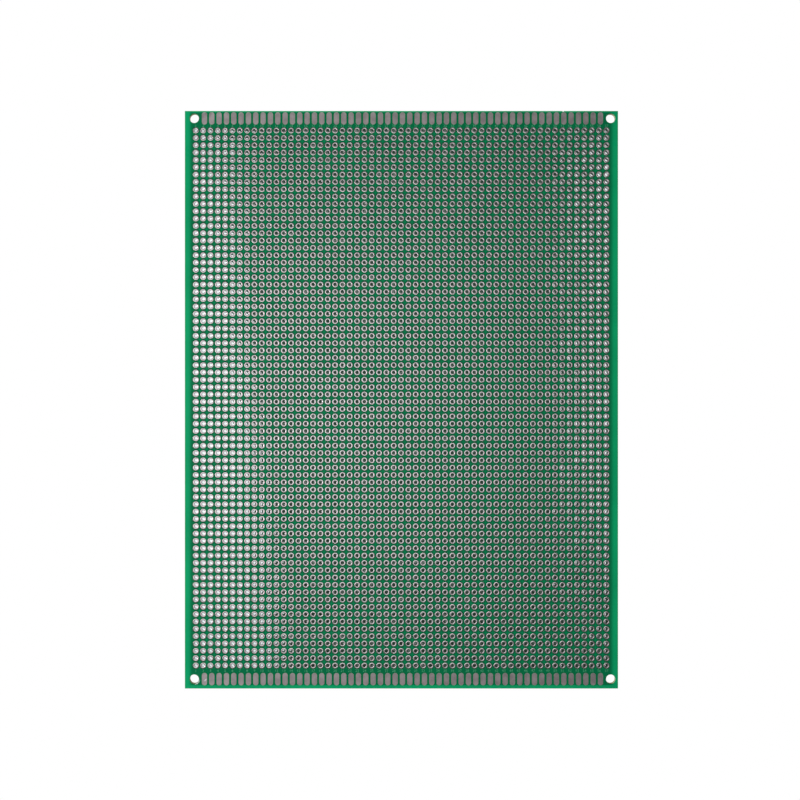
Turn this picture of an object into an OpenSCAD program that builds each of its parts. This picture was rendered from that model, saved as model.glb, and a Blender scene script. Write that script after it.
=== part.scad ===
/* [Board] */
// Width of the board, across its columns of holes
board_w = 150; // [60:1:220]
// Length of the board, along its columns of holes
board_l = 200; // [60:1:280]
// Thickness of the laminate with its plating and its coats
board_t = 1.6; // [0.8:0.1:3.2]

/* [Hole grid] */
// Distance from hole to hole, along a row and along a column
pitch = 2.54; // [2.5:0.01:5.08]
// Finished bore of a plated hole
bore_d = 1.15; // [0.7:0.05:1.4]
// Width of the land round a plated hole
land_d = 2.05; // [1.6:0.05:2.4]
// How far the coat dips along a row of lands
coat_dip = 0.03; // [0.01:0.01:0.06]
// Least distance from the outer columns to the sides of the board
side_clear = 3.3; // [2.5:0.1:10]
// Strip kept free for the legend, between the edge pads and the outer rows
legend_gap = 0.5; // [0.3:0.1:5]
// How far the grid was drilled to the right of the board's middle
grid_shift_x = -0.1; // [-1:0.1:1]
// How far the grid was drilled above the board's middle
grid_shift_y = 0.6; // [-0.9:0.1:0.9]

/* [Edge pads] */
// Width of an edge pad
edge_pad_w = 1.8; // [1:0.1:2.2]
// Length of an edge pad
edge_pad_l = 4.3; // [2.5:0.1:8]
// Thickness of the plating of an edge pad
edge_pad_t = 0.07; // [0.03:0.01:0.2]
// Distance from the ends of the board to the edge pads
edge_gap = 0.75; // [0.6:0.05:3]
// How far the edge pads and mounting holes sit to the right of the board's middle
edge_shift_x = 0.35; // [-0.5:0.05:0.5]
// How far the edge pads and mounting holes sit above the board's middle
edge_shift_y = 0.35; // [-0.5:0.05:0.5]

/* [Mounting holes] */
// Bore of a mounting hole
mount_d = 3.2; // [2:0.1:4]
// Distance from the sides of the board to the mounting holes' centres
mount_inset = 2.9; // [2.6:0.1:8]
// Least gap between a mounting hole and the first edge pad
mount_gap = 0.7; // [0.4:0.1:3]

/* [Wear] */
// Width of the nick in the far end of the board
nick_w = 0.7; // [0.2:0.1:2]
// Depth of the nick
nick_depth = 0.3; // [0.1:0.05:0.5]
// Distance from the right side of the board to the nick
nick_inset = 19; // [5:1:50]

/* [Hidden] */

cols = floor((board_w - 2 * side_clear) / pitch) + 1;
outer_row_clear = edge_gap + edge_pad_l + legend_gap + land_d / 2;
rows = floor((board_l - 2 * outer_row_clear) / pitch) + 1;
band_w = (cols - 1) * pitch + land_d;
band_t = board_t - 2 * coat_dip;
// How far a band reaches into the ribs and margins round it
band_lap = 0.1;
// How far a cut starts outside the face it goes into
cut_start = 0.5;

edge_line = board_l / 2 - edge_gap - edge_pad_l / 2;
first_edge_pad = mount_inset + mount_d / 2 + mount_gap + edge_pad_w / 2;
edge_pads = floor((board_w - 2 * first_edge_pad) / pitch) + 1;

far = 1;
near = -1;

coat_green = [0.05, 0.55, 0.33];
tinned = [0.55, 0.53, 0.53];

// Copies of the children along X, one pitch apart, about the middle
module in_line(count) {
    for (i = [0 : count - 1])
        translate([(i - (count - 1) / 2) * pitch, 0]) children();
}

// Copies of the children, one at the middle of each row of holes
module at_rows() {
    for (j = [0 : rows - 1])
        translate([grid_shift_x, (j - (rows - 1) / 2) * pitch + grid_shift_y]) children();
}

module at_mounting_holes() {
    for (x = [-1, 1], y = [-1, 1])
        translate([x * (board_w / 2 - mount_inset) + edge_shift_x, y * edge_line + edge_shift_y])
            children();
}

// Outline of an edge pad, a slot shape with round ends
module edge_pad_outline() {
    straight = edge_pad_l - edge_pad_w;
    square([edge_pad_w, straight], center = true);
    for (y = [-1, 1])
        translate([0, y * straight / 2]) circle(d = edge_pad_w, $fn = 32);
}

module edge_pad_line(end) {
    translate([edge_shift_x, end * edge_line + edge_shift_y])
        in_line(edge_pads) edge_pad_outline();
}

// The pads along one end, flush with the front or the back of the board
module edge_pads_on(end, floor_z) {
    color(tinned)
        translate([0, 0, floor_z]) linear_extrude(edge_pad_t) edge_pad_line(end);
}

module nick() {
    translate([board_w / 2 - nick_inset, board_l / 2])
        polygon([[-nick_w / 2, 0], [0, -nick_depth], [nick_w / 2, 0]]);
}

// Full thickness of the board, open along the rows of holes
module ribs_and_margins() {
    linear_extrude(board_t)
        difference() {
            square([board_w, board_l], center = true);
            at_rows() square([band_w, land_d], center = true);
            at_mounting_holes() circle(d = mount_d, $fn = 48);
            nick();
        }
}

// One row of plated holes in the laminate, a hair thinner than the coated board
module drilled_band() {
    linear_extrude(band_t)
        difference() {
            square([band_w + 2 * band_lap, land_d + 2 * band_lap], center = true);
            in_line(cols) circle(d = bore_d, $fn = 24);
        }
}

module board() {
    color(coat_green)
        union() {
            difference() {
                ribs_and_margins();
                for (z = [-cut_start, board_t - edge_pad_t], end = [near, far])
                    translate([0, 0, z]) linear_extrude(edge_pad_t + cut_start) edge_pad_line(end);
            }
            translate([0, 0, coat_dip]) at_rows() drilled_band();
        }
}

module front_far_edge_pads() edge_pads_on(far, board_t - edge_pad_t);
module front_near_edge_pads() edge_pads_on(near, board_t - edge_pad_t);
module back_far_edge_pads() edge_pads_on(far, 0);
module back_near_edge_pads() edge_pads_on(near, 0);

board();
front_far_edge_pads();
front_near_edge_pads();
back_far_edge_pads();
back_near_edge_pads();
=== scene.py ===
import math

import bpy
import numpy as np
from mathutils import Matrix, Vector

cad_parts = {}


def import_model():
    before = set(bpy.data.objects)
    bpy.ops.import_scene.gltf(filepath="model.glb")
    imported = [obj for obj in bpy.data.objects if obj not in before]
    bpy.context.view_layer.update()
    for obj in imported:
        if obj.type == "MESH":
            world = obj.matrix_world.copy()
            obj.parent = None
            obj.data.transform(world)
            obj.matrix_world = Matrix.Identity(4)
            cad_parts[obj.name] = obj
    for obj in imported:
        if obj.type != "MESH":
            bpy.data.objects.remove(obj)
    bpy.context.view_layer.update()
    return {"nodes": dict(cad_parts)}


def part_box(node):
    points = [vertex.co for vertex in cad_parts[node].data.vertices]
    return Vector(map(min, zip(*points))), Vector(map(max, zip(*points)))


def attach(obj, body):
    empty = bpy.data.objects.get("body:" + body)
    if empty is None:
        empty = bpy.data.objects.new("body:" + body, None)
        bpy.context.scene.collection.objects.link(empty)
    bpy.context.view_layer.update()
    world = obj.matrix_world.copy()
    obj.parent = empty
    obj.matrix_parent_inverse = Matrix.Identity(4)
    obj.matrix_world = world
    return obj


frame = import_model()

MM = 0.001

# The board as it is packed, in metres
LOW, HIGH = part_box("board")
BOARD_W = HIGH.x - LOW.x
BOARD_L = HIGH.y - LOW.y
FRONT_Z = HIGH.z
BACK_Z = LOW.z

# The hole grid, as in the part's source
PITCH = 2.54 * MM
COLS = 57
ROWS = 74
LAND_R = 1.025 * MM
BORE_R = 0.575 * MM
COAT_DIP = 0.03 * MM
GRID_X = -0.1 * MM
GRID_Y = 0.6 * MM

# Edge pads and mounting holes share a line along each end
FAR_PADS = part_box("front_far_edge_pads")
NEAR_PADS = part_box("front_near_edge_pads")
EDGE_PADS = 55
EDGE_X = (FAR_PADS[0].x + FAR_PADS[1].x) / 2
NEAR_LINE_Y = (NEAR_PADS[0].y + NEAR_PADS[1].y) / 2
FAR_LINE_Y = (FAR_PADS[0].y + FAR_PADS[1].y) / 2
MOUNT_R = 1.6 * MM
MOUNT_INSET = 2.9 * MM
LEFT_MOUNT_X = EDGE_X - BOARD_W / 2 + MOUNT_INSET

# Where the board lies in the photograph, in its 800 pixel frame
PHOTO = 800
PHOTO_LEFT, PHOTO_RIGHT = 185.3, 617.6
PHOTO_TOP, PHOTO_BOTTOM = 111.0, 688.5
# The camera's height and nearest sight in metres, and its sensor in millimetres
CAMERA_HEIGHT = 0.45
CLIP_START = 0.01
SENSOR = 36.0


def column_x(column):
    return GRID_X + (column - (COLS - 1) / 2) * PITCH


def row_y(row):
    return GRID_Y + (row - (ROWS - 1) / 2) * PITCH


def edge_pad_x(pad):
    return EDGE_X + (pad - (EDGE_PADS - 1) / 2) * PITCH


class Nodes:
    """Short calls for building one material's node tree."""

    def __init__(self, name):
        self.material = bpy.data.materials.new(name)
        self.material.use_nodes = True
        self.tree = self.material.node_tree
        self.tree.nodes.clear()
        self.output = self.tree.nodes.new("ShaderNodeOutputMaterial")

    def add(self, kind, **values):
        node = self.tree.nodes.new(kind)
        for name, value in values.items():
            setattr(node, name, value)
        return node

    def put(self, socket, value):
        """Links a socket to another node's output, or gives it a plain value."""
        if isinstance(value, bpy.types.NodeSocket):
            self.tree.links.new(value, socket)
        else:
            socket.default_value = value

    def math(self, operation, a, b=0.0, c=0.0):
        node = self.add("ShaderNodeMath", operation=operation)
        for socket, value in zip(node.inputs, (a, b, c)):
            self.put(socket, value)
        return node.outputs[0]

    def ramp(self, value, start, end, low=0.0, high=1.0):
        """Goes smoothly from low to high as value goes from start to end."""
        node = self.add("ShaderNodeMapRange", interpolation_type="SMOOTHSTEP")
        names = ("Value", "From Min", "From Max", "To Min", "To Max")
        for name, given in zip(names, (value, start, end, low, high)):
            self.put(node.inputs[name], given)
        return node.outputs["Result"]

    def mix(self, factor, a, b):
        """The colour a where factor is 0, and b where it is 1."""
        node = self.add("ShaderNodeMix", data_type="RGBA")
        self.put(node.inputs[0], factor)
        self.put(node.inputs[6], a)
        self.put(node.inputs[7], b)
        return node.outputs[2]

    def noise(self, place, scale, detail=2.0, roughness=0.5):
        node = self.add("ShaderNodeTexNoise")
        self.put(node.inputs["Vector"], place)
        self.put(node.inputs["Scale"], scale)
        self.put(node.inputs["Detail"], detail)
        self.put(node.inputs["Roughness"], roughness)
        return node.outputs["Fac"]

    def bump(self, height, distance, normal=None):
        node = self.add("ShaderNodeBump")
        self.put(node.inputs["Height"], height)
        self.put(node.inputs["Distance"], distance)
        self.put(node.inputs["Strength"], 1.0)
        if normal is not None:
            self.put(node.inputs["Normal"], normal)
        return node.outputs["Normal"]

    def place(self):
        return self.add("ShaderNodeTexCoord").outputs["Object"]

    def split(self, vector):
        node = self.add("ShaderNodeSeparateXYZ")
        self.put(node.inputs[0], vector)
        return node.outputs

    def finish(self, shader):
        self.tree.links.new(shader, self.output.inputs["Surface"])
        return self.material


def linear(red, green, blue):
    """A colour given as 0 to 255 on screen, as the shader takes it."""
    def one(value):
        value /= 255
        return value / 12.92 if value <= 0.04045 else ((value + 0.055) / 1.055) ** 2.4
    return (one(red), one(green), one(blue), 1.0)


# Colours of the green coat and of the laminate under it
COAT_MARGIN = linear(12, 172, 110)
COAT_FIELD = linear(4, 119, 74)
COAT_DIAMOND = linear(6, 139, 87)
# The darkest coat: painted shade round the lands, and darker patches at random
COAT_SHADE_AND_DARK = linear(1, 80, 50)
LAMINATE = linear(206, 205, 168)
LAMINATE_DEEP = linear(168, 174, 128)

# Colours of the tin, the print and the wear, the darker one first
PAD_TIN = (linear(166, 157, 158), linear(190, 181, 182))
LAND_TIN = (linear(206, 202, 203), linear(220, 216, 217))
# The scratch is real wear; its matt near-white is a painted glint
SCRATCH_GLINT_TIN = (linear(225, 225, 228), linear(250, 250, 252))
LEGEND_INK = (linear(40, 150, 100), linear(95, 180, 140))
TORN_COAT = (linear(190, 205, 200), linear(235, 242, 238))

# Painted light and shade that show through the bores
LIT_NEAR_END = linear(218, 226, 228)
LIT_MIDDLE = linear(240, 245, 247)
LIT_FAR_END = linear(215, 220, 222)
DEEP_SHADE_NEAR_END = linear(34, 48, 39)
DEEP_SHADE = linear(44, 60, 51)
STRAY_LIGHT = linear(112, 120, 115)

# Scales of the noises, coarse to fine
WORN_PATCHES = 55.0
SHEEN = 300.0
TIN_MOTTLE = 420.0
COAT_FLOW = 900.0
STRAY_SPOTS = 1000.0
RAGGED_LIGHT = 1300.0
DRY_GRAIN = 2500.0
PAD_GRAIN = 5000.0
LAND_GRAIN = 7000.0
LAMINATE_LAYERS = 9000.0
# Values of a noise between which it changes from one look to the other
NARROW = (0.35, 0.65)
WIDE = (0.3, 0.7)

# Width of the dark ring of painted shade round each land, where the coat dips to it
SHADE_RING = 0.32 * MM
# Distances from a land between which the coat turns brighter, amid four holes
DIAMOND_FROM, DIAMOND_TO = 0.1 * MM, 0.75 * MM
# How many pitches narrower the field of rings is than its whole cells, and how it fades
GRID_CUT = 0.2
GRID_FADE = 0.2 * MM
# Where the coat brightens beside the outer lands, and how gradually
MARGIN_FROM = 0.1 * MM
MARGIN_FADE = 1.7 * MM
# Where it brightens at the ends, inside the outer ends of the far pads, and how gradually
END_INSET = 0.65 * MM
END_FADE = 0.45 * MM

# Where the bare laminate begins: a hair inside the sides, and level with the edge pads
BARE_X = BOARD_W / 2 - 0.4 * MM
BARE_Y = -NEAR_PADS[1].y
BARE_FADE = 0.2 * MM

# The glass cloth, the flow of the coat and the mottle of the tin, as they show in the gloss
WEAVE_PITCH = 0.55 * MM
WEAVE_H = 0.0012 * MM
FLOW_H = 0.004 * MM
MOTTLE_H = 0.003 * MM


def nearest_line(n, along, shift, even):
    """The nearest line of holes along one axis: the distance from it and its number."""
    half = 0.5 if even else 0.0
    turns = n.math("MULTIPLY_ADD", along, 1 / PITCH, half - shift / PITCH)
    nearest = n.math("ROUND", turns)
    return n.math("MULTIPLY", n.math("SUBTRACT", turns, nearest), PITCH), nearest


def nearest_hole(n, x, y):
    """The distances from the nearest hole along x and y, and its column and row."""
    dx, column = nearest_line(n, x, GRID_X, COLS % 2 == 0)
    dy, row = nearest_line(n, y, GRID_Y, ROWS % 2 == 0)
    return dx, dy, column, row


def within(n, along, centre, half, fade):
    """1 where along is within half of centre, falling to 0 past it."""
    away = n.math("ABSOLUTE", n.math("SUBTRACT", along, centre))
    return n.ramp(away, half, half + fade, 1.0, 0.0)


def coat_colour(n, x, y, place):
    """Green: painted shade round each land, brighter amid four of them, brightest on the
    margins.
    """
    dx, dy = nearest_hole(n, x, y)[:2]
    square = n.math("ADD", n.math("MULTIPLY", dx, dx), n.math("MULTIPLY", dy, dy))
    radius = n.math("SQRT", square)
    in_grid = n.math(
        "MULTIPLY",
        within(n, x, GRID_X, (COLS - GRID_CUT) / 2 * PITCH, GRID_FADE),
        within(n, y, GRID_Y, (ROWS - GRID_CUT) / 2 * PITCH, GRID_FADE),
    )
    amid = n.ramp(radius, LAND_R + DIAMOND_FROM, LAND_R + DIAMOND_TO)
    diamonds = n.mix(amid, COAT_FIELD, COAT_DIAMOND)
    # A ring of painted shade round each land
    shade_ringed = n.mix(n.ramp(radius, LAND_R, LAND_R + SHADE_RING), COAT_SHADE_AND_DARK, diamonds)
    field = n.mix(in_grid, COAT_FIELD, shade_ringed)
    inside = n.math(
        "MULTIPLY",
        within(n, x, GRID_X, (COLS - 1) / 2 * PITCH + LAND_R + MARGIN_FROM, MARGIN_FADE),
        within(n, y, (FAR_LINE_Y + NEAR_LINE_Y) / 2, FAR_PADS[1].y - END_INSET, END_FADE),
    )
    coat = n.mix(inside, COAT_MARGIN, field)
    worn = n.ramp(n.noise(place, WORN_PATCHES, 3.0), 0.35, 0.7, 0.0, 0.35)
    return n.mix(worn, coat, n.mix(0.5, coat, COAT_SHADE_AND_DARK))


def laminate_edge(n, place):
    """Cut glass fibre: pale, with fine layers lying flat."""
    stretched = n.add("ShaderNodeMapping")
    n.put(stretched.inputs["Vector"], place)
    stretched.inputs["Scale"].default_value = (0.08, 0.08, 1.0)
    layers = n.noise(stretched.outputs[0], LAMINATE_LAYERS, 3.0, 0.6)
    return n.mix(n.ramp(layers, *NARROW), LAMINATE_DEEP, LAMINATE)


def bare_laminate(n, x, y):
    """1 on the cut edges and the walls of the mounting holes, and 0 elsewhere."""
    facing = n.split(n.add("ShaderNodeNewGeometry").outputs["Normal"])[2]
    upright = n.ramp(n.math("ABSOLUTE", facing), 0.3, 0.5, 1.0, 0.0)
    off_grid = n.math(
        "MAXIMUM",
        n.ramp(n.math("ABSOLUTE", x), BARE_X, BARE_X + BARE_FADE),
        n.ramp(n.math("ABSOLUTE", y), BARE_Y, BARE_Y + BARE_FADE),
    )
    return n.math("MULTIPLY", upright, off_grid)


def coat_relief(n, x, y, place):
    """The weave of the glass cloth, and over it the flow of the coat."""
    waves = [n.math("SINE", n.math("MULTIPLY", v, 2 * math.pi / WEAVE_PITCH)) for v in (x, y)]
    weave = n.bump(n.math("MULTIPLY", *waves), WEAVE_H)
    return n.bump(n.noise(place, COAT_FLOW), FLOW_H, weave)


def coated_laminate():
    n = Nodes("coated_laminate")
    place = n.place()
    x, y = n.split(place)[:2]
    coat = coat_colour(n, x, y, place)
    colour = n.mix(bare_laminate(n, x, y), coat, laminate_edge(n, place))
    shader = n.add("ShaderNodeBsdfPrincipled")
    n.put(shader.inputs["Base Color"], colour)
    n.put(shader.inputs["Roughness"], n.ramp(n.noise(place, SHEEN), *WIDE, 0.26, 0.4))
    shader.inputs["IOR"].default_value = 1.5
    shader.inputs["Specular IOR Level"].default_value = 0.07
    n.put(shader.inputs["Normal"], coat_relief(n, x, y, place))
    return n.finish(shader.outputs[0])


def tinned(name, colours, smooth, rough, grain):
    """Levelled tin: pale, softly mottled, with a fine grain."""
    n = Nodes(name)
    place = n.place()
    mottle = n.noise(place, TIN_MOTTLE, 3.0, 0.6)
    fine = n.noise(place, grain)
    blend = n.math("MULTIPLY_ADD", fine, 0.4, n.math("MULTIPLY", mottle, 0.6))
    shader = n.add("ShaderNodeBsdfPrincipled")
    n.put(shader.inputs["Base Color"], n.mix(n.ramp(blend, *NARROW), *colours))
    shader.inputs["Metallic"].default_value = 1.0
    n.put(shader.inputs["Roughness"], n.ramp(mottle, *WIDE, smooth, rough))
    n.put(shader.inputs["Normal"], n.bump(blend, MOTTLE_H))
    return n.finish(shader.outputs[0])


def matt(name, colours):
    """A dry surface, such as worn ink or a raised burr."""
    n = Nodes(name)
    worn = n.noise(n.place(), DRY_GRAIN)
    shader = n.add("ShaderNodeBsdfPrincipled")
    n.put(shader.inputs["Base Color"], n.mix(n.ramp(worn, *NARROW), *colours))
    shader.inputs["Roughness"].default_value = 0.6
    return n.finish(shader.outputs[0])


def dress(obj, material):
    obj.data.materials.clear()
    obj.data.materials.append(material)


def add_object(name, data):
    obj = bpy.data.objects.new(name, data)
    bpy.context.scene.collection.objects.link(obj)
    return obj


def quad_object(name, points, quads, smooth_below=None):
    """A mesh from arrays of points and of four-cornered faces."""
    mesh = bpy.data.meshes.new(name)
    mesh.vertices.add(len(points))
    mesh.vertices.foreach_set("co", np.asarray(points, np.float32).ravel())
    mesh.loops.add(quads.size)
    mesh.loops.foreach_set("vertex_index", quads.ravel().astype(np.int32))
    mesh.polygons.add(len(quads))
    mesh.polygons.foreach_set("loop_start", np.arange(0, quads.size, 4, dtype=np.int32))
    mesh.polygons.foreach_set("loop_total", np.full(len(quads), 4, np.int32))
    mesh.update(calc_edges=True)
    mesh.validate()
    if smooth_below is not None:
        mesh.polygons.foreach_set("use_smooth", np.ones(len(quads), bool))
        mesh.set_sharp_from_angle(angle=math.radians(smooth_below))
    return add_object(name, mesh)


def face_object(name, points, faces):
    """A mesh from lists of points and of faces with any number of corners."""
    mesh = bpy.data.meshes.new(name)
    mesh.from_pydata(points, [], faces)
    mesh.update()
    return add_object(name, mesh)


# Section of one plated hole: a crowned front land, the lining of the bore and a flat back land
LINING_T = 0.02 * MM
LINING_R = BORE_R - 0.003 * MM
OPEN_R = LINING_R - LINING_T
LIP_R = 0.65 * MM
CROWN_R = 0.87 * MM
EYELET = (
    (OPEN_R, FRONT_Z - 0.034 * MM),
    (LIP_R, FRONT_Z + 0.002 * MM),
    (CROWN_R, FRONT_Z + 0.011 * MM),
    (LAND_R, FRONT_Z - COAT_DIP + 0.01 * MM),
    (LINING_R, FRONT_Z - COAT_DIP),
    (LINING_R, BACK_Z + COAT_DIP),
    (LAND_R, BACK_Z + COAT_DIP - 0.006 * MM),
    (OPEN_R, BACK_Z + 0.004 * MM),
)
EYELET_SIDES = 14
# Faces that meet at less than this angle, in degrees, are shaded as one round surface
EYELET_SMOOTH = 40
ROWS_IN_A_PIECE = 15


def eyelet():
    """Points and faces of one plated hole about the origin."""
    turn = np.arange(EYELET_SIDES) * 2 * math.pi / EYELET_SIDES
    radii = np.array([r for r, _ in EYELET])
    heights = np.array([z for _, z in EYELET])
    points = np.stack(
        [
            np.outer(radii, np.cos(turn)),
            np.outer(radii, np.sin(turn)),
            np.repeat(heights[:, None], EYELET_SIDES, axis=1),
        ],
        axis=-1,
    ).reshape(-1, 3)
    quads = []
    for ring in range(len(EYELET)):
        after = (ring + 1) % len(EYELET)
        for side in range(EYELET_SIDES):
            beside = (side + 1) % EYELET_SIDES
            corners = ((ring, side), (after, side), (after, beside), (ring, beside))
            quads.append([r * EYELET_SIDES + s for r, s in corners])
    return points, np.array(quads)


def plated_holes(material):
    """The linings and lands of all the holes, a band of rows to a piece."""
    points, quads = eyelet()
    for first in range(0, ROWS, ROWS_IN_A_PIECE):
        band = range(first, min(first + ROWS_IN_A_PIECE, ROWS))
        centres = np.array([(column_x(c), row_y(r), 0) for r in band for c in range(COLS)])
        all_points = (centres[:, None, :] + points[None, :, :]).reshape(-1, 3)
        step = np.arange(len(centres)) * len(points)
        all_quads = (step[:, None, None] + quads[None, :, :]).reshape(-1, 4)
        name = f"plated_holes_from_row_{first + 1}"
        piece = quad_object(name, all_points, all_quads, EYELET_SMOOTH)
        dress(piece, material)
        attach(piece, "root")


# Height of a printed number, the font's size for that height, and the thickness of the ink
LEGEND_H = 0.95 * MM
SIZE_PER_HEIGHT = 1.35
LEGEND_T = 0.008 * MM


def number(text, x, y):
    """A flat printed number, as a text object in its place."""
    curve = bpy.data.curves.new("number", "FONT")
    curve.body = text
    curve.size = LEGEND_H * SIZE_PER_HEIGHT
    curve.align_x = "CENTER"
    curve.align_y = "CENTER"
    curve.resolution_u = 2
    curve.extrude = LEGEND_T / 2
    obj = add_object("number", curve)
    obj.location = (x, y, FRONT_Z + LEGEND_T / 2)
    return obj


def legend(material):
    """Plain column numbers along both ends, joined into one mesh."""
    near_y = (NEAR_PADS[1].y + row_y(0) - LAND_R) / 2
    far_y = (FAR_PADS[0].y + row_y(ROWS - 1) + LAND_R) / 2
    numbers = [number(str(c + 1), column_x(c), y) for y in (near_y, far_y) for c in range(COLS)]
    bpy.context.view_layer.update()
    depsgraph = bpy.context.evaluated_depsgraph_get()
    points, faces = [], []
    for obj in numbers:
        mesh = bpy.data.meshes.new_from_object(obj.evaluated_get(depsgraph))
        start = len(points)
        points += [tuple(obj.matrix_world @ v.co) for v in mesh.vertices]
        faces += [tuple(start + i for i in p.vertices) for p in mesh.polygons]
        bpy.data.meshes.remove(mesh)
        bpy.data.objects.remove(obj)
    piece = face_object("column_numbers", points, faces)
    dress(piece, material)
    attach(piece, "root")


# The scratch, from and to, measured from the middle of the first near pad
SCRATCH_FROM = (-0.1 * MM, -0.75 * MM)
SCRATCH_TO = (0.8 * MM, 0.1 * MM)
SCRATCH_W = 0.36 * MM
SCRATCH_H = 0.012 * MM
# The streaks of the burr, each with its turn round the mounting hole and its length in mm
BURRS = (("burr", -36, 1.9), ("burr_tail", -66, 1.2))
# How far out the burr lies, in radii of the mounting hole
BURR_OUT = 1.12
BURR_W = 0.3 * MM
BURR_H = 0.015 * MM
# How a streak is divided, how blunt its ends are, and how much and how fast its width wavers
STREAK_STEPS = 8
STREAK_TIP = 0.06
WAVER = 0.25
WAVER_TURN = 9


def sliver(name, start, end, width, height, material):
    """A thin raised streak on the front, with pointed ends and a ridge along it."""
    along = end - start
    across = np.array([-along[1], along[0]]) / np.linalg.norm(along) * width / 2
    points = []
    for i in range(STREAK_STEPS + 1):
        t = i / STREAK_STEPS
        swell = max(math.sin(math.pi * t), STREAK_TIP) * (1 + WAVER * math.sin(WAVER_TURN * t))
        middle = start + along * t
        left, right = middle + across * swell, middle - across * swell
        points += [(*left, FRONT_Z), (*middle, FRONT_Z + height * swell), (*right, FRONT_Z)]
    faces = []
    for i in range(STREAK_STEPS):
        a, b = 3 * i, 3 * (i + 1)
        faces += [(a, b, b + 1, a + 1), (a + 1, b + 1, b + 2, a + 2), (a + 2, b + 2, b, a)]
    last = 3 * STREAK_STEPS
    obj = face_object(name, points, faces + [(0, 1, 2), (last + 2, last + 1, last)])
    dress(obj, material)
    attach(obj, "root")


def wear(scratch_and_glint, torn):
    """The scratch on the first near pad, with its painted glint, and the burr at the hole by it.
    """
    pad = np.array((edge_pad_x(0), NEAR_LINE_Y))
    start, end = pad + SCRATCH_FROM, pad + SCRATCH_TO
    sliver("scratch", start, end, SCRATCH_W, SCRATCH_H, scratch_and_glint)
    for name, turn, long in BURRS:
        a = math.radians(turn)
        out_x = math.cos(a) * MOUNT_R * BURR_OUT
        out_y = math.sin(a) * MOUNT_R * BURR_OUT
        middle = np.array((LEFT_MOUNT_X + out_x, NEAR_LINE_Y + out_y))
        half = np.array((-math.sin(a), math.cos(a))) * long * MM / 2
        start, end = middle - half, middle + half
        sliver(name, start, end, BURR_W, BURR_H, torn)


CORNERS = ((-1, -1), (1, -1), (1, 1), (-1, 1))


def plane(name, width, length, z, material, centre=(0.0, 0.0)):
    """A flat surface of the stage, facing up."""
    x, y = centre
    points = [(x + sx * width / 2, y + sy * length / 2, z) for sx, sy in CORNERS]
    obj = quad_object(name, points, np.array([[0, 1, 2, 3]]))
    dress(obj, material)


def show_to_lens(n, plain, seen, mirrored=0.0):
    """A plain colour for the light, and the seen one for the camera and in part for mirrors."""
    diffuse = n.add("ShaderNodeBsdfDiffuse")
    n.put(diffuse.inputs["Color"], plain)
    glow = n.add("ShaderNodeEmission")
    n.put(glow.inputs["Color"], seen)
    path = n.add("ShaderNodeLightPath").outputs
    both = n.add("ShaderNodeMixShader")
    shown = n.math("MULTIPLY_ADD", path["Is Glossy Ray"], mirrored, path["Is Camera Ray"])
    n.put(both.inputs[0], shown)
    n.put(both.inputs[1], diffuse.outputs[0])
    n.put(both.inputs[2], glow.outputs[0])
    return n.finish(both.outputs[0])


WHITE = (1, 1, 1, 1)
FLOOR_PLAIN = (0.8, 0.8, 0.8, 1)
SHADE_PLAIN = (0.1, 0.12, 0.1, 1)
# Share of the painted light that the tin in the bores mirrors
SHADE_MIRRORED = 0.8

# Stretches from the board's middle over which the painted light under it changes, along x or y
X_TURNS_LEFT = (-60 * MM, 0.0)
X_TURNS_RIGHT = (-20 * MM, 45 * MM)
X_SLIVERS = (38 * MM, 72 * MM)
X_STRAY = (0.0, 40 * MM)
Y_NEAR_END = (-90 * MM, -10 * MM)
Y_NEAR_SLIVERS = (-90 * MM, -25 * MM)
Y_NEAR_SHADE = (-80 * MM, 0.0)
Y_FAR_PART = (40 * MM, 95 * MM)
Y_FAR_SLIVERS = (75 * MM, 98 * MM)
Y_FAR_END = (75 * MM, 100 * MM)
# The same towards the lower right corner, along x less y
TO_CORNER = (90 * MM, 140 * MM)
# Where the bores are lit most, and how far that line leans to the left along y
MOST_LIT_X = -67 * MM
LEAN = 0.1
# How far past a bore's middle the light begins where it is all dark, and how far slivers return
ALL_DARK = 0.66 * MM
SLIVERS_RETURN = -0.6 * MM
# How much the start of the light differs from bore to bore, and how ragged it is
BORE_SPREAD = 0.24 * MM
RAGGED = 0.5 * MM
# The soft border of the light
LIGHT_BORDER = (-0.07 * MM, 0.09 * MM)


def centred(n, value, width):
    """Spreads a value between 0 and 1 over a width about 0."""
    return n.math("MULTIPLY_ADD", value, width, -width / 2)


def towards_light(n, x, y, seen_x, seen_y):
    """How far a point lies to its bore's lit side: left, and towards a line across the board."""
    left = n.ramp(x, *X_TURNS_LEFT, 0.5, 1.0)
    slope = n.ramp(n.math("SUBTRACT", x, y), *TO_CORNER, 1 / (90 * MM), 1 / (400 * MM))
    inward = n.math("MULTIPLY_ADD", y, slope, n.ramp(x, *X_TURNS_RIGHT, 0.33, 0.12))
    square = n.math("MULTIPLY_ADD", inward, inward, n.math("MULTIPLY", left, left))
    reach = n.math("MULTIPLY_ADD", seen_x, left, n.math("MULTIPLY", seen_y, inward))
    return n.math("DIVIDE", n.math("MULTIPLY", reach, -1.0), n.math("SQRT", square))


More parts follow.
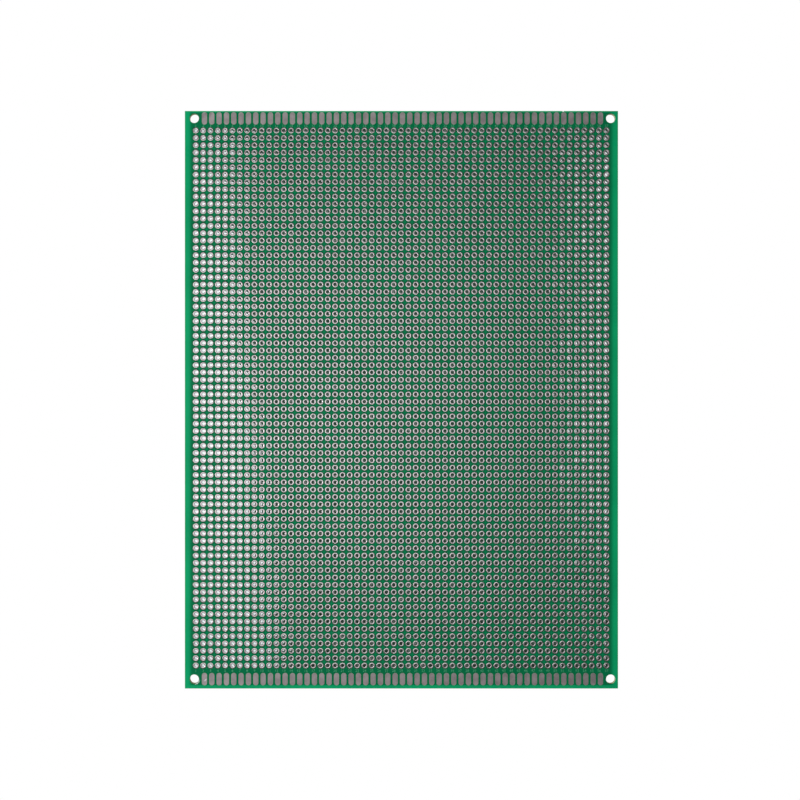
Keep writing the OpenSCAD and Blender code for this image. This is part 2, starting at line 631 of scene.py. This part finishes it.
def light_begins(n, x, y, place, column, row):
    """How far past a bore's middle its light begins: whole bores left, slivers at the right."""
    last_lit_x = n.ramp(y, *Y_FAR_PART, -38 * MM, -30 * MM)
    fullest = n.ramp(y, *Y_FAR_PART, -0.6 * MM, -0.35 * MM)
    leaning = n.math("MULTIPLY_ADD", y, LEAN, x)
    edge = n.ramp(leaning, MOST_LIT_X, last_lit_x, fullest, ALL_DARK)
    weaker = n.ramp(y, *Y_NEAR_SLIVERS, 0.4, n.ramp(y, *Y_FAR_SLIVERS, 1.0, 0.65))
    slivers = n.math("MULTIPLY", n.ramp(x, *X_SLIVERS, 0.0, SLIVERS_RETURN), weaker)
    cell = n.add("ShaderNodeCombineXYZ")
    n.put(cell.inputs[0], column)
    n.put(cell.inputs[1], row)
    chance = n.add("ShaderNodeTexWhiteNoise")
    n.put(chance.inputs["Vector"], cell.outputs[0])
    by_bore = centred(n, chance.outputs["Value"], BORE_SPREAD)
    ragged = centred(n, n.noise(place, RAGGED_LIGHT), RAGGED)
    for shift in (slivers, by_bore, ragged):
        edge = n.math("ADD", edge, shift)
    return edge


def shade_under_board():
    """Painted light and shade under the bores: lit left, shade in the middle, slivers at right.
    """
    n = Nodes("shade_under_board")
    place = n.place()
    x, y = n.split(place)[:2]
    dx, dy, column, row = nearest_hole(n, x, y)
    # Where the camera sees each point in the front opening of its bore
    slant = FRONT_Z / CAMERA_HEIGHT
    seen_x = n.math("MULTIPLY_ADD", x, -slant, dx)
    seen_y = n.math("MULTIPLY_ADD", y, -slant, dy)
    reach = towards_light(n, x, y, seen_x, seen_y)
    begins = light_begins(n, x, y, place, column, row)
    lit = n.ramp(n.math("SUBTRACT", reach, begins), *LIGHT_BORDER)
    white = n.mix(n.ramp(y, *Y_NEAR_END), LIT_NEAR_END, LIT_MIDDLE)
    white = n.mix(n.ramp(y, *Y_FAR_END), white, LIT_FAR_END)
    painted_shade = n.mix(n.ramp(y, *Y_NEAR_SHADE), DEEP_SHADE_NEAR_END, DEEP_SHADE)
    most = n.ramp(x, *X_STRAY, 0.9, 0.4)
    stray = n.ramp(n.noise(place, STRAY_SPOTS), 0.46, 0.72, 0.0, most)
    colour = n.mix(lit, n.mix(stray, painted_shade, STRAY_LIGHT), white)
    return show_to_lens(n, SHADE_PLAIN, colour, SHADE_MIRRORED)


FLOOR_Z = -0.02 * MM
FLOOR_SIZE = 6.0


def stage():
    """The white floor, and on it the painted light that the bores look down on."""
    floor = show_to_lens(Nodes("white_floor"), FLOOR_PLAIN, WHITE)
    plane("floor", FLOOR_SIZE, FLOOR_SIZE, FLOOR_Z, floor)
    shade = shade_under_board()
    plane("shade", COLS * PITCH, ROWS * PITCH, FLOOR_Z / 2, shade, (GRID_X, GRID_Y))


# Strength of the soft light from all round
SKY = 0.12
# Each lamp's name, place, aim and size in metres, and its power in watts
LAMPS = (
    ("softbox_over", (-0.22, -0.02, 1.0), (-0.22, -0.02, 0), (0.76, 0.43), 1.29),
    ("softbox_left", (-1.0, 0.0, 0.565), (0, 0, 0), (0.6, 0.75), 13.4),
    ("softbox_far", (0.2, 1.2, 0.9), (0, 0, 0), (1.2, 1.0), 2.3),
)


def background(tree, strength):
    node = tree.nodes.new("ShaderNodeBackground")
    node.inputs["Color"].default_value = WHITE
    node.inputs["Strength"].default_value = strength
    return node.outputs[0]


def world():
    """Soft light from all round, which the camera sees as plain white."""
    studio = bpy.data.worlds.new("studio")
    bpy.context.scene.world = studio
    studio.use_nodes = True
    tree = studio.node_tree
    tree.nodes.clear()
    path = tree.nodes.new("ShaderNodeLightPath")
    both = tree.nodes.new("ShaderNodeMixShader")
    output = tree.nodes.new("ShaderNodeOutputWorld")
    tree.links.new(path.outputs["Is Camera Ray"], both.inputs[0])
    tree.links.new(background(tree, SKY), both.inputs[1])
    tree.links.new(background(tree, 1.0), both.inputs[2])
    tree.links.new(both.outputs[0], output.inputs["Surface"])


def lamp(name, place, aim, size, power):
    """A softbox, whose own Z axis points away from what it lights."""
    light = bpy.data.lights.new(name, "AREA")
    light.shape = "RECTANGLE"
    light.size, light.size_y = size
    light.energy = power
    obj = add_object(name, light)
    obj.location = place
    away = [p - a for p, a in zip(place, aim)]
    obj.rotation_mode = "QUATERNION"
    obj.rotation_quaternion = Vector(away).to_track_quat("Z", "Y")


def camera():
    """Looks straight down, so that the board fills the same pixels."""
    scale = (PHOTO_BOTTOM - PHOTO_TOP) / BOARD_L
    x = (PHOTO / 2 - (PHOTO_LEFT + PHOTO_RIGHT) / 2) / scale
    y = ((PHOTO_TOP + PHOTO_BOTTOM) / 2 - PHOTO / 2) / scale
    data = bpy.data.cameras.new("camera")
    data.sensor_width = SENSOR
    data.lens = SENSOR * (CAMERA_HEIGHT - FRONT_Z) * scale / PHOTO
    data.clip_start = CLIP_START
    obj = add_object("camera", data)
    obj.location = (x, y, CAMERA_HEIGHT)
    bpy.context.scene.camera = obj


def main():
    coat = coated_laminate()
    pad_tin = tinned("pad_tin", PAD_TIN, 0.4, 0.5, PAD_GRAIN)
    land_tin = tinned("land_tin", LAND_TIN, 0.22, 0.28, LAND_GRAIN)
    scratch_and_glint = matt("scratch_with_glint", SCRATCH_GLINT_TIN)
    dress(frame["nodes"]["board"], coat)
    for name in ("front_far", "front_near", "back_far", "back_near"):
        dress(frame["nodes"][f"{name}_edge_pads"], pad_tin)
    plated_holes(land_tin)
    legend(matt("legend_ink", LEGEND_INK))
    wear(scratch_and_glint, matt("torn_coat", TORN_COAT))
    stage()
    world()
    for softbox in LAMPS:
        lamp(*softbox)
    camera()
    bpy.context.scene.view_settings.view_transform = "Standard"


main()
